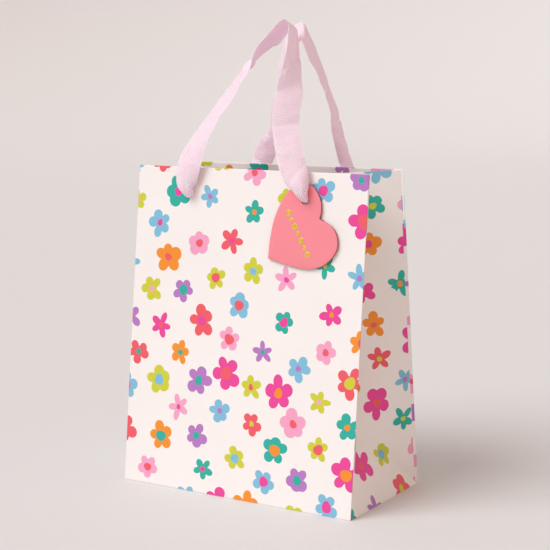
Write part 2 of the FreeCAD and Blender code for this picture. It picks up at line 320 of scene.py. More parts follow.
def foil_material(name):
    mat, nt, bsdf = new_material(name)
    co = node(nt, "ShaderNodeTexCoord")
    n = node(nt, "ShaderNodeTexNoise", Scale=700.0, Detail=3.0, Roughness=0.6)
    nt.links.new(co.outputs["Object"], n.inputs["Vector"])
    r = ramp(nt, [(0.3, srgb(240, 196, 66)), (0.7, srgb(255, 228, 104))])
    nt.links.new(n.outputs["Fac"], r.inputs["Fac"])
    nt.links.new(r.outputs["Color"], bsdf.inputs["Base Color"])
    mr = node(nt, "ShaderNodeMapRange")
    mr.inputs["To Min"].default_value = 0.22
    mr.inputs["To Max"].default_value = 0.42
    nt.links.new(n.outputs["Fac"], mr.inputs["Value"])
    nt.links.new(mr.outputs["Result"], bsdf.inputs["Roughness"])
    b = node(nt, "ShaderNodeBump", Strength=0.2, Distance=0.00008)
    nt.links.new(n.outputs["Fac"], b.inputs["Height"])
    nt.links.new(b.outputs["Normal"], bsdf.inputs["Normal"])
    bsdf.inputs["Metallic"].default_value = 0.6
    return mat


WHITE = srgb(252, 247, 244)
INNER = srgb(254, 240, 231)
print_paper = paper_material("printed_art_paper")
plain_paper = paper_material("plain_paper_side", srgb(246, 240, 234), fibre=0.06, rough=(0.66, 0.80), bump=0.22)
card_stock = paper_material("stiff_card", srgb(226, 219, 209), fibre=0.10, rough=(0.74, 0.88), bump=0.3)
grey_board = paper_material("lined_board", srgb(238, 232, 224), fibre=0.08, rough=(0.6, 0.78), bump=0.35, mottling=0.05)
tag_board = paper_material("coral_tag_board", None, fibre=0.05, rough=(0.52, 0.66), bump=0.22, mottling=0.035)
twill = ribbon_material("pink_herringbone_twill")
foil = foil_material("gold_foil")


# --------------------------------------------------------------------------
# The print: scattered five-petal flowers, of this model's own arrangement
# --------------------------------------------------------------------------
INKS = {
    "magenta": srgb(240, 74, 160), "coral": srgb(244, 96, 108), "orange": srgb(250, 150, 46),
    "lime": srgb(212, 214, 62), "teal": srgb(48, 182, 166), "sky": srgb(132, 196, 226),
    "lavender": srgb(188, 126, 200), "pink": srgb(250, 170, 206),
}
CENTRES = {
    "magenta": ["coral", "orange"], "coral": ["lime", "teal", "magenta"], "orange": ["teal", "coral", "magenta"],
    "lime": ["coral", "sky", "pink"], "teal": ["orange", "magenta", "lime"], "sky": ["magenta", "lavender", "coral"],
    "lavender": ["teal", "coral"], "pink": ["coral", "magenta"],
}


def flower_outline(rng, radius, kind):
    """A hand-cut looking five-petal outline about its middle."""
    turn = rng.uniform(0, 2 * math.pi)
    wide = {"round": 0.345, "full": 0.40, "slim": 0.295, "star": 0.26}[kind]
    petals = []
    for k in range(5):
        a = turn + k * 2 * math.pi / 5 + math.radians(rng.uniform(-9, 9))
        reach = radius * rng.uniform(0.86, 1.08)
        b = radius * wide * rng.uniform(0.86, 1.14)
        half = reach * {"round": 0.38, "full": 0.42, "slim": 0.42, "star": 0.46}[kind]
        petals.append((a, reach - half, half, b))
    core = radius * {"round": 0.45, "full": 0.5, "slim": 0.38, "star": 0.35}[kind]
    n = 96 if radius < 10 else 128
    out = []
    for i in range(n):
        th = 2 * math.pi * i / n
        r = core
        for a, d, s, b in petals:
            c, w = math.cos(th - a), math.sin(th - a)
            qa = c * c / (s * s) + w * w / (b * b)
            qb = -2 * d * c / (s * s)
            qc = d * d / (s * s) - 1
            disc = qb * qb - 4 * qa * qc
            if disc >= 0 and c > 0:
                r = max(r, (-qb + math.sqrt(disc)) / (2 * qa))
        out.append((r * math.cos(th), r * math.sin(th)))
    # soften the valleys between petals a little, as printed edges are
    pts = np.array(out)
    for _ in range(1):
        pts = 0.6 * pts + 0.2 * (np.roll(pts, 1, 0) + np.roll(pts, -1, 0))
    return pts


def centre_outline(rng, radius):
    n = 22
    a0 = rng.uniform(0, math.pi)
    sx, sy = radius * rng.uniform(0.88, 1.1), radius * rng.uniform(0.8, 1.0)
    pts = []
    for i in range(n):
        th = 2 * math.pi * i / n
        w = 1 + 0.06 * math.sin(3 * th + a0)
        x, y = sx * w * math.cos(th), sy * w * math.sin(th)
        pts.append((x * math.cos(a0) - y * math.sin(a0), x * math.sin(a0) + y * math.cos(a0)))
    return np.array(pts)


def scatter_flowers(seed, x0, x1, y0, y1):
    """Evenly scattered flowers over a sheet, in millimetres: (x, y, petals outline, ink, centre outline, ink)."""
    rng = random.Random(seed)
    count = int((x1 - x0) * (y1 - y0) / 800.0)
    pts = []
    for _ in range(count):
        best, score = None, -1.0
        for _ in range(40):
            p = (rng.uniform(x0, x1), rng.uniform(y0, y1))
            d = min([math.hypot(p[0] - q[0], p[1] - q[1]) for q in pts] or [99.0])
            if d > score:
                best, score = p, d
        pts.append(best)
    P = np.array(pts)
    for _ in range(25):
        d = P[:, None] - P[None]
        r = np.sqrt((d ** 2).sum(-1)) + np.eye(len(P)) * 1e3
        push = np.clip(30.0 - r, 0, None)[..., None] * d / r[..., None] * 0.06
        P += push.sum(1)
        P[:, 0] = np.clip(P[:, 0], x0, x1)
        P[:, 1] = np.clip(P[:, 1], y0, y1)
    flowers = []
    names = list(INKS)
    for i, (x, y) in enumerate(P):
        near = sorted(range(i), key=lambda j: (P[j][0] - x) ** 2 + (P[j][1] - y) ** 2)[:4]
        used = {flowers[j][3] for j in near}
        free = [n for n in names if n not in used]
        ink = rng.choice(free)
        u = rng.random()
        kind = rng.choice(["round", "round", "round", "slim", "star", "full"])
        radius = rng.uniform(8.8, 10.6)
        if u > 0.80:
            radius, kind = rng.uniform(10.8, 12.4), rng.choice(["round", "full"])
        if ink == "magenta" and u > 0.45:
            radius, kind = rng.uniform(12.2, 13.8), "round"
        middle = rng.choice(CENTRES[ink])
        share = {"round": rng.choice([0.25, 0.3, 0.42]), "full": rng.choice([0.3, 0.4]), "slim": 0.24, "star": 0.22}[kind]
        flowers.append((x, y, flower_outline(rng, radius, kind), ink, centre_outline(rng, radius * share), middle))
    return flowers


# --------------------------------------------------------------------------
# Sheets of paper: a flat outline cut with its print, laid on a surface and
# given the paper's thickness
# --------------------------------------------------------------------------
def convex_inside(poly, p, slack=1e-6):
    s = 0
    for (ax, ay), (bx, by) in zip(poly, poly[1:] + poly[:1]):
        c = (bx - ax) * (p[1] - ay) - (by - ay) * (p[0] - ax)
        if c < -slack:
            return False
    return True


def cut_sheet(poly, flowers, lines=(), step=7.0, holes=()):
    """Triangles of a flat convex sheet, counter-clockwise in millimetres, cut along the print, fold lines and holes."""
    co, edges, faces, inks = [], [], [], []

    def add_line(a, b, size):
        n = max(1, int(math.ceil(math.hypot(b[0] - a[0], b[1] - a[1]) / size)))
        first = len(co)
        for i in range(n + 1):
            co.append((a[0] + (b[0] - a[0]) * i / n, a[1] + (b[1] - a[1]) * i / n))
        for i in range(n):
            edges.append((first + i, first + i + 1))

    for a, b in zip(poly, poly[1:] + poly[:1]):
        add_line(a, b, step)
    for a, b in lines:
        add_line(a, b, step)
    xs, ys = [p[0] for p in poly], [p[1] for p in poly]
    reach = 15.0
    cut = []
    for x, y, petals, ink, middle, mid_ink in flowers:
        if not (min(xs) - reach < x < max(xs) + reach and min(ys) - reach < y < max(ys) + reach):
            continue
        cut.append((x, y))
        for outline, name in ((petals, ink), (middle, mid_ink)):
            first = len(co)
            for px, py in outline:
                co.append((x + px, y + py))
            faces.append(list(range(first, first + len(outline))))
            inks.append(INKS[name])
    hole_from = len(faces)
    for hx, hy, r in holes:
        first = len(co)
        n = 40
        for i in range(n):
            co.append((hx + r * math.cos(2 * math.pi * i / n), hy + r * math.sin(2 * math.pi * i / n)))
        faces.append(list(range(first, first + n)))
    nx, ny = int((max(xs) - min(xs)) / step), int((max(ys) - min(ys)) / step)
    for i in range(1, nx):
        for j in range(1, ny):
            p = (min(xs) + (max(xs) - min(xs)) * (i + 0.5 * (j % 2) - 0.25) / nx, min(ys) + (max(ys) - min(ys)) * j / ny)
            if convex_inside(poly, p, -step * 0.2 * step):
                co.append(p)
    v, e, f, ov, oe, of = delaunay_2d_cdt([Vector(p) for p in co], edges, faces, 0, 1e-4, True)
    tris, colours = [], []
    for tri, owners in zip(f, of):
        c = (sum(v[k][0] for k in tri) / 3, sum(v[k][1] for k in tri) / 3)
        if not convex_inside(poly, c):
            continue
        if any(o >= hole_from for o in owners):
            continue
        a, b, d = (v[k] for k in tri)
        if abs((b[0] - a[0]) * (d[1] - a[1]) - (b[1] - a[1]) * (d[0] - a[0])) < 1e-6:
            continue
        if (b[0] - a[0]) * (d[1] - a[1]) - (b[1] - a[1]) * (d[0] - a[0]) < 0:
            tri = tri[::-1]
        tris.append(tuple(tri))
        colours.append(inks[max(owners)] if owners else None)
    return [(p[0], p[1]) for p in v], tris, colours


def finish_mesh(name, verts, faces, material, ink=None, sharp=32.0):
    me = bpy.data.meshes.new(name)
    me.from_pydata([tuple(p) for p in verts], [], faces)
    me.validate()
    if ink is not None:
        attr = me.color_attributes.new("ink", "FLOAT_COLOR", "CORNER")
        data = np.ones((len(me.loops), 4), np.float32)
        start = np.zeros(len(me.polygons), np.int64)
        total = np.zeros(len(me.polygons), np.int64)
        me.polygons.foreach_get("loop_start", start)
        me.polygons.foreach_get("loop_total", total)
        for i, c in enumerate(ink):
            data[start[i]:start[i] + total[i]] = c
        attr.data.foreach_set("color", data.ravel())
    me.polygons.foreach_set("use_smooth", [True] * len(me.polygons))
    me.set_sharp_from_angle(angle=math.radians(sharp))
    me.materials.append(material)
    ob = bpy.data.objects.new(name, me)
    scene.collection.objects.link(ob)
    return ob


def paper_sheet(name, poly, place, flowers=(), lines=(), step=7.0, holes=(), thick=T, material=None, back=None):
    """place(u, s) in millimetres gives the printed face's point and outward normal, in metres."""
    v, tris, colours = cut_sheet(poly, flowers, lines, step, holes)
    used = sorted({k for t in tris for k in t})
    index = {k: i for i, k in enumerate(used)}
    outer, inner = [], []
    for k in used:
        p, n, inside = place(*v[k])
        outer.append(p)
        inner.append(inside if inside is not None else p - n * thick)
    m = len(used)
    faces, ink = [], []
    count = {}
    a, b, c = (Vector(outer[index[k]]) for k in tris[len(tris) // 2])
    _, n0, _ = place(*v[tris[len(tris) // 2][0]])
    flip = (b - a).cross(c - a).dot(n0) < 0
    for t, col in zip(tris, colours):
        q = [index[k] for k in t]
        if flip:
            q = q[::-1]
        faces.append(tuple(q))
        ink.append(col if col is not None else WHITE)
        for i in range(3):
            e = (q[i], q[(i + 1) % 3])
            count[e] = count.get(e, 0) + 1
    for q in list(faces):
        faces.append(tuple(x + m for x in q[::-1]))
        ink.append(back or INNER)
    for (i, j) in list(count):
        if (j, i) not in count:
            faces.append((j, i, i + m, j + m))
            ink.append(INNER)
    return finish_mesh(name, outer + inner, faces, material or print_paper, ink)


# ---- the front and back walls --------------------------------------------
def wall_place(side, x, t, n):
    y = -HD + t * SA - n * CA
    return Vector((x, y * side, t * CA + n * SA))


def wall_normal(side):
    return Vector((0, -CA * side, SA))


def wall_up(side):
    return Vector((0, SA * side, CA))


def gusset_angle(t):
    if t <= HD:
        return BETA
    return math.acos(min(1.0, (HD - t * SA) / (HD * CA)))


def gusset_point(sx, sy, t, r, n):
    g = gusset_angle(t)
    sg, cg = math.sin(g), math.cos(g)
    x = HW - r * sg + n * cg
    inward = r * cg + n * sg
    return Vector((x * sx, (HD - t * SA - inward * CA) * sy, t * CA - inward * SA))


def smooth(a, b, x):
    t = min(max((x - a) / (b - a), 0.0), 1.0)
    return t * t * (3 - 2 * t)


def ripple(side, x, t):
    """The slight waviness of a paper wall, none at its folds and its stiffened top."""
    env = smooth(0.0, 0.03, t) * (1 - smooth(H - 0.085, H - 0.046, t)) * smooth(0.0, 0.02, HW - abs(x))
    v = noise.noise(Vector((x * 9, t * 7, 3.0 * side))) * 0.0011 + noise.noise(Vector((x * 26, t * 20, 7.0 + side))) * 0.0003
    return env * v


WRAP, RHO = 0.0010, 0.00025     # where a corner fold starts from the edge, and its radius
S1 = H - 0.00025                # the outer face is flat up to here, then rolls over the top


def make_wall(word, side, flowers, seam):
    """seam: +1 or -1 gives the edge that carries the wider strip under the side's glued edge."""
    reach = {+1: 0.0013, -1: 0.0013}
    if seam:
        reach[seam] = 0.0030
    q_len = 0.0020

    def place(u, s):
        x, t = u * MM, s * MM
        n = wall_normal(side)
        if abs(x) <= HW - WRAP:
            return wall_place(side, x, t, ripple(side, x, t)), n, None
        sx = 1 if x > 0 else -1
        q = abs(x) - (HW - WRAP)
        g = gusset_angle(t)
        theta = math.pi / 2 + g
        tangent = RHO * math.tan(theta / 2)
        flat = WRAP - tangent
        arc = RHO * theta
        out_x = Vector((sx, 0, 0))
        centre = wall_place(side, sx * (HW - tangent), t, -RHO)
        if q < flat:
            return wall_place(side, sx * (HW - WRAP + q), t, 0.0), n, None
        if q < flat + arc:
            a = (q - flat) / RHO
            d = n * math.cos(a) + out_x * math.sin(a)
            return centre + d * RHO, d, centre + d * max(RHO - T, 0.00003)
        f = (q - flat - arc) / (q_len - flat - arc)
        r = tangent + f * (reach[sx] - tangent)
        sy = -side
        p = gusset_point(sx, sy, t, r, 0.0)
        p2 = gusset_point(sx, sy, t, r, -T)
        return p, (p - p2).normalized(), p2

    edge = (HW - WRAP + q_len) * 1000
    low, top = 0.56, S1 * 1000
    lines = []
    for sx in (-1, 1):
        for k in range(0, 18):
            u = sx * ((HW - WRAP) * 1000 + k * 0.11)
            lines.append(((u, low), (u, top)))
    holes = [(sx * HOLE_X * 1000, HOLE_T * 1000, HOLE_R * 1000) for sx in (-1, 1)]
    panel = paper_sheet(word + "_panel_sheet", [(-edge, low), (edge, low), (edge, top), (-edge, top)], place,
                        flowers, lines, 7.0, holes)
    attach(panel, word + "_wall")
    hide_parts(word + "_panel")

    stack = 2 * T + CARD
    rad = stack / 2
    arc_mm = math.pi * rad * 1000

    def hem_place(u, s):
        x = u * MM
        k = s * MM - S1
        if k <= 0:
            return wall_place(side, x, S1, 0.0), wall_normal(side), None
        if k < math.pi * rad:
            a = k / rad
            d = wall_normal(side) * math.cos(a) + wall_up(side) * math.sin(a)
            c = wall_place(side, x, S1, -rad)
            return c + d * rad, d, c + d * (rad - T)
        return wall_place(side, x, S1 - (k - math.pi * rad), -stack), -wall_normal(side), None

    top2 = top + arc_mm + HEM * 1000
    edge = (HW - 0.0004) * 1000
    lines = [((-edge, top + arc_mm * k / 10), (edge, top + arc_mm * k / 10)) for k in range(1, 11)]
    hs = top + arc_mm + (S1 - HOLE_T) * 1000
    holes = [(sx * HOLE_X * 1000, hs, HOLE_R * 1000) for sx in (-1, 1)]
    hem = paper_sheet(word + "_top_hem_sheet", [(-edge, top), (edge, top), (edge, top2), (-edge, top2)], hem_place,
                      flowers, lines, 9.0, holes)
    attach(hem, word + "_wall")
    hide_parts(word + "_top_hem")

    # the bottom flap: a fold at the base's edge, then flat
    r = 0.0005
    start = wall_place(side, 0, 0.00056, 0)
    turn = math.pi / 2 + LEAN
    arc = r * turn

    def flap_place(u, s):
        x, k = u * MM, -(s - 0.56) * MM
        c = wall_place(side, x, 0.00056, -r)
        if k < arc:
            a = k / r
            d = wall_normal(side) * math.cos(a) - wall_up(side) * math.sin(a)
            return c + d * r, d, c + d * (r - T)
        y = c.y + side * (k - arc)
        z = 0.0
        if side < 0:
            z = T * 1.02 * smooth(-0.0155, -0.0140, -y)
            if y < 0.0:
                z = T * 1.02
        return Vector((x, y, z)), Vector((0, 0, -1)), Vector((x, y, z + T))

    long = (54 + (14 if side > 0 else 13.5))
    edge = (HW - 0.0003) * 1000
    low2 = 0.56 - (arc * 1000 + long - 0.6)
    lines = [((-edge, 0.56 - arc * 1000 * k / 6), (edge, 0.56 - arc * 1000 * k / 6)) for k in range(1, 7)]
    if side < 0:
        for k in range(6):
            s = 0.56 - arc * 1000 - (54 - 0.56 - 15.8 + k * 0.4)
            lines.append(((-edge, s), (edge, s)))
    flap = paper_sheet(word + "_bottom_flap_sheet", [(-edge, low2), (edge, low2), (edge, 0.56), (-edge, 0.56)],
                       flap_place, flowers, lines, 10.0)
    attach(flap, "base")
    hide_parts("bottom_flap_" + word)


# ---- the side gussets ------------------------------------------------------
def make_side(word, sx, flowers, seam):
    """The side's sheet in its own coordinates: u 0 at the front corner, 108 at the back; s up."""
    roll = T
    arc_mm = math.pi * roll * 1000
    top = (H - 0.00012) * 1000
    top2 = top + arc_mm + HEM * 1000
    for end, sy in (("front", -1), ("back", 1)):
        r0 = 1.32
        if seam and sy > 0:
            r0 = 3.02

        def place(u, s, sy=sy):
            r = (u if sy < 0 else 108 - u) * MM
            t = s * MM
            if t > top * MM:
                k = t - top * MM
                if k < math.pi * roll:
                    a = k / roll
                    n = -roll + roll * math.cos(a)
                    tt = top * MM + roll * math.sin(a)
                    n2 = -roll + (roll - T * 0.98) * math.cos(a)
                    t2 = top * MM + (roll - T * 0.98) * math.sin(a)
                    p, p2 = gusset_point(sx, sy, tt, r, n), gusset_point(sx, sy, t2, r, n2)
                    return p, (p - p2).normalized(), p2
                tt = top * MM - (k - math.pi * roll)
                p = gusset_point(sx, sy, tt, r, -2 * roll)
                p2 = gusset_point(sx, sy, tt, r, -2 * roll + T * 0.98)
                return p, (p - p2).normalized(), p2
            env = smooth(0.0, 0.012, r) * smooth(0.0, 0.012, HD - r) * smooth(0.0, 0.03, t - r) * (1 - smooth(H - 0.085, H - 0.046, t))
            wave = env * noise.noise(Vector((r * 16, t * 11, 11.0 * sx + 5 * sy))) * 0.0009
            p = gusset_point(sx, sy, t, r, wave)
            p2 = gusset_point(sx, sy, t, r, wave - T)
            n = (p - p2).normalized()
            # mitre the inner face at the middle fold; past the fold the sheet runs on straight inside the bag,
            # behind the other half, so that the fold stays covered as the walls lean
            k = smooth(HD - 0.0006, HD, r) * (1 - smooth(HD, HD + 0.0007, r))
            if k > 0:
                g = gusset_angle(t)
                p2 = p2 + (gusset_point(sx, sy, t, r + 0.001, 0) - gusset_point(sx, sy, t, r, 0)) * (1000 * T * math.tan(g) * k)
            return p, n, p2

        def uv(r, t):
            return (r, t) if sy < 0 else (108 - r, t)
        poly = [uv(r0, r0), uv(54, 54), uv(56.0, 60.5), uv(56.2, 140), uv(54.9, 215), uv(54, top), uv(r0, top)]
        if sy > 0:
            poly = poly[::-1]
        lines = [(uv(53.4, 53.4), uv(53.4, top)), (uv(54, 54.2), uv(54, top)), (uv(54.7, 66), uv(54.7, 220))]
        half = paper_sheet("%s_gusset_%s_sheet" % (word, end), poly, place, flowers, lines, 6.0)
        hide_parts("%s_gusset_%s_half" % (word, end))
        hp = [uv(r0 + 1.4, top), uv(53.9, top), uv(53.9, top2), uv(r0 + 1.4, top2)]
        if sy > 0:
            hp = hp[::-1]
        lines = [(uv(r0 + 1.4, top + arc_mm * k / 7), uv(53.9, top + arc_mm * k / 7)) for k in range(1, 8)]
        hem = paper_sheet("%s_gusset_%s_hem_sheet" % (word, end), hp, place, flowers, lines, 6.0)
        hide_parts("%s_gusset_%s_hem" % (word, end))
        for ob in (half, hem):
            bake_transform(ob)
        if seam and sy > 0:
            def glued(u, s):
                p = gusset_point(sx, 1, s * MM, u * MM, -T - 0.00004)
                p2 = gusset_point(sx, 1, s * MM, u * MM, -2 * T)
                return p, (p - p2).normalized(), p2
            gp = [(1.6, 22), (16, 26), (16, 196), (1.6, 201)]
            strip = paper_sheet("side_glue_flap_sheet", gp, glued, (), (), 6.0)
            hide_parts("side_glue_flap")
            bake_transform(strip)

    def foot_place(u, s):
        sb, cb = math.sin(BETA), math.cos(BETA)
        p = Vector(((HW - s * MM * sb) * sx, -HD + u * MM, s * MM * cb + 0.00006))
        n = Vector((cb * sx, 0, sb))
        return p, n, None

    foot = paper_sheet(word + "_gusset_foot_sheet", [(0.3, 0.0), (107.7, 0.0), (107.2, 3.2), (56, 55.9), (52, 55.9), (0.8, 3.2)],
                       foot_place, flowers, (), 6.0)
    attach(foot, word + "_foot")
    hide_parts(word + "_gusset_foot")


front_print = scatter_flowers(21, -106, 106, -70, 294)
back_print = scatter_flowers(34, -106, 106, -70, 294)
right_print = scatter_flowers(57, -4, 112, -4, 294)
left_print = scatter_flowers(73, -4, 112, -4, 294)
make_wall("front", 1, front_print, 0)
make_wall("back", -1, back_print, 1)
make_side("right", 1, right_print, True)
make_side("left", -1, left_print, False)


# --------------------------------------------------------------------------
# Ribbons: a flat woven band of one length through each pair of holes
# --------------------------------------------------------------------------
FRONT_RIBBON = [
    (-51.0, -25.2, 224.6, 4.2, 0.0, 0.0),
    (-51.0, -27.8, 225.0, 4.4, 0.0, 0.6),
    (-51.0, -31.0, 225.9, 6.6, -0.3, 1.6),
    (-52.1, -33.6, 229.0, 12.4, 0.8, 1.0),
    (-53.2, -34.3, 233.2, 17.0, 1.5, 0.2),
    (-51.6, -33.5, 241.9, 18.9, 1.6, -4.6),
    (-48.1, -31.0, 254.0, 19.2, -1.6, -5.5),
    (-44.2, -26.5, 265.9, 18.1, -6.7, -5.2),
    (-39.1, -24.0, 276.0, 15.6, -10.5, -6.8),
    (-32.2, -21.5, 285.8, 14.1, -12.6, -6.6),
    (-25.6, -19.0, 295.1, 14.2, -12.6, -6.2),
    (-19.5, -16.5, 304.7, 14.0, -13.0, -5.9),
    (-13.6, -14.5, 313.6, 12.8, -14.3, -5.5),
    (-7.7, -12.5, 321.7, 9.3, -17.6, -2.0),
    (-2.7, -10.5, 329.2, 9.1, -12.5, -12.7),
    (2.5, -8.5, 334.9, 8.7, -12.0, -13.4),
    (10.4, -6.9, 342.5, 3.9, -10.8, -16.4),
    (17.9, -6.0, 348.0, 3.2, -10.3, -16.9),
    (21.2, -6.2, 344.4, -0.7, -10.5, -17.0),
    (24.0, -7.4, 336.3, -4.8, -11.7, -15.5),
    (26.2, -9.2, 326.7, -8.1, -12.9, -12.9),
    (27.9, -11.5, 316.5, -11.6, -12.9, -10.0),
    (28.9, -14.2, 307.2, -14.0, -11.9, -8.0),
    (30.0, -19.0, 295.7, -15.5, -12.5, 0.5),
    (29.9, -23.0, 285.0, -16.9, -10.5, 2.1),
    (32.7, -27.0, 273.7, -16.7, -10.8, -1.9),
    (37.9, -31.5, 262.5, -16.7, -10.5, -3.4),
    (42.8, -35.5, 250.7, -16.7, -9.9, -4.7),
    (47.4, -37.0, 240.2, -15.8, -7.8, -6.0),
    (50.1, -36.0, 232.0, -9.0, -2.6, -3.0),
    (51.0, -33.4, 227.6, -5.6, -0.9, -1.5),
    (51.0, -30.2, 225.4, -4.6, -0.4, -0.9),
    (51.0, -27.8, 225.0, -4.4, 0.0, -0.6),
    (51.0, -25.2, 224.6, -4.2, 0.0, 0.0),
]
BACK_RIBBON = [
    (-51.0, 25.2, 224.6, 4.2, 0.0, 0.0),
    (-51.0, 27.8, 225.0, 4.4, 0.0, -0.4),
    (-50.4, 31.2, 226.0, 4.6, -2.0, -2.6),
    (-45.5, 33.8, 229.4, 5.5, -3.0, -6.0),
    (-38.0, 34.5, 234.0, 8.0, -3.6, -9.6),
    (-28.9, 33.0, 243.1, 14.8, -0.2, -11.9),
    (-21.6, 30.5, 254.5, 16.0, -1.5, -11.9),
    (-10.8, 27.0, 268.1, 15.0, -5.3, -12.2),
    (-1.9, 23.0, 281.9, 13.9, -10.4, -9.9),
    (2.6, 19.5, 295.0, 12.8, -13.2, -7.9),
    (6.4, 16.0, 307.1, 10.9, -15.0, -7.5),
    (10.2, 13.0, 319.2, 8.3, -16.8, -7.0),
    (13.1, 8.7, 334.8, 8.0, -9.9, -15.5),
    (17.9, 9.0, 343.9, 7.3, -11.5, -14.7),
    (23.9, 9.6, 347.0, 6.1, -13.2, -13.7),
    (27.4, 10.0, 342.9, 5.9, -13.0, -14.0),
    (30.3, 11.5, 335.2, 6.1, -13.9, -13.0),
    (33.6, 13.0, 326.7, 6.5, -15.1, -11.4),
    (37.5, 14.5, 316.6, 5.2, -19.2, -1.9),
    (40.9, 17.0, 305.8, 4.9, -19.0, -3.8),
    (42.8, 20.0, 296.2, 3.8, -17.9, -5.3),
    (43.7, 24.0, 284.1, 2.8, -17.0, -5.2),
    (45.3, 28.0, 271.3, 2.5, -15.9, -5.4),
    (47.0, 33.5, 257.5, 1.6, -13.1, -4.8),
    (48.6, 38.0, 245.1, 0.6, -12.0, -0.7),
    (51.4, 36.8, 235.6, -4.9, -7.2, 2.3),
    (51.2, 33.6, 229.0, -5.8, -2.0, 1.1),
    (51.0, 30.4, 225.6, -4.8, -0.6, 0.6),
    (51.0, 27.8, 225.0, -4.4, 0.0, 0.4),
    (51.0, 25.2, 224.6, -4.2, 0.0, 0.0),
]


# The creased turn at the top of each band: rows of (millimetres across the band, x, y, z)
FRONT_TOP = [
    ((0.0, -20.2, -8.3, 317.2), (5.0, -16.5, -12.1, 315.5), (10.0, -13.0, -15.3, 313.8), (15.0, -9.8, -18.2, 311.9), (20.0, -7.0, -20.7, 310.0)),
    ((0.0, -16.5, -7.1, 321.3), (5.0, -12.7, -10.3, 319.4), (10.0, -8.9, -13.4, 317.4), (15.0, -6.3, -16.6, 317.0), (20.0, -3.7, -19.7, 316.6)),
    ((0.0, -11.7, -5.8, 325.3), (4.8, -8.1, -8.4, 323.2), (9.5, -4.5, -11.1, 321.1), (14.8, -3.2, -14.9, 322.3), (20.0, -1.8, -18.8, 323.5)),
    ((0.0, -7.8, -3.0, 325.1), (5.0, -5.1, -7.0, 326.3), (10.0, -2.5, -11.0, 327.4), (15.0, -0.7, -15.0, 329.1), (20.0, 1.0, -19.0, 330.7)),
    ((0.0, -3.4, -1.8, 329.1), (5.0, -1.5, -5.3, 331.0), (10.0, 0.4, -8.8, 333.0), (15.0, 2.2, -13.3, 335.0), (20.0, 4.0, -17.8, 337.1)),
    ((0.0, 5.1, -0.5, 334.8), (5.0, 6.5, -3.3, 337.5), (10.0, 7.8, -6.2, 340.3), (15.0, 10.0, -10.3, 343.3), (20.0, 12.2, -14.5, 346.3)),
    ((0.0, 12.9, -1.2, 338.2), (4.5, 13.7, -2.5, 341.5), (9.0, 14.4, -3.9, 344.8), (14.5, 16.6, -7.5, 349.3), (20.0, 18.8, -11.2, 353.7)),
    ((0.0, 19.2, 2.2, 347.1), (4.5, 20.6, -1.2, 348.7), (9.0, 22.1, -4.7, 350.3), (14.5, 23.8, -9.6, 352.4), (20.0, 25.4, -14.6, 354.5)),
    ((0.0, 23.9, 2.5, 347.8), (4.5, 25.8, -2.1, 348.6), (9.0, 27.7, -6.7, 349.5), (14.5, 28.1, -11.4, 350.3), (20.0, 28.5, -16.1, 351.1)),
    ((0.0, 25.8, 1.9, 341.2), (4.0, 27.3, -2.6, 341.9), (8.0, 28.8, -7.1, 342.6), (14.0, 29.0, -12.1, 343.2), (20.0, 29.3, -17.1, 343.9)),
    ((0.0, 27.6, 0.5, 332.4), (6.2, 28.7, -6.5, 332.6), (12.5, 29.7, -13.6, 332.8), (16.2, 29.0, -16.2, 332.6), (20.0, 28.2, -18.9, 332.4)),
    ((0.0, 30.1, -1.6, 323.7), (6.5, 30.1, -8.8, 324.0), (13.0, 30.2, -15.9, 324.2), (16.5, 28.6, -18.1, 324.0), (20.0, 26.9, -20.4, 323.9)),
    ((0.0, 32.8, -4.8, 313.5), (7.8, 30.2, -12.4, 313.8), (15.5, 27.7, -19.9, 314.0), (17.8, 26.3, -21.1, 313.9), (20.0, 25.0, -22.4, 313.8)),
    ((0.0, 35.1, -9.4, 300.6), (5.0, 32.5, -14.0, 300.8), (10.0, 29.6, -18.1, 300.9), (15.0, 26.6, -21.9, 300.9), (20.0, 23.3, -25.4, 300.9)),
]
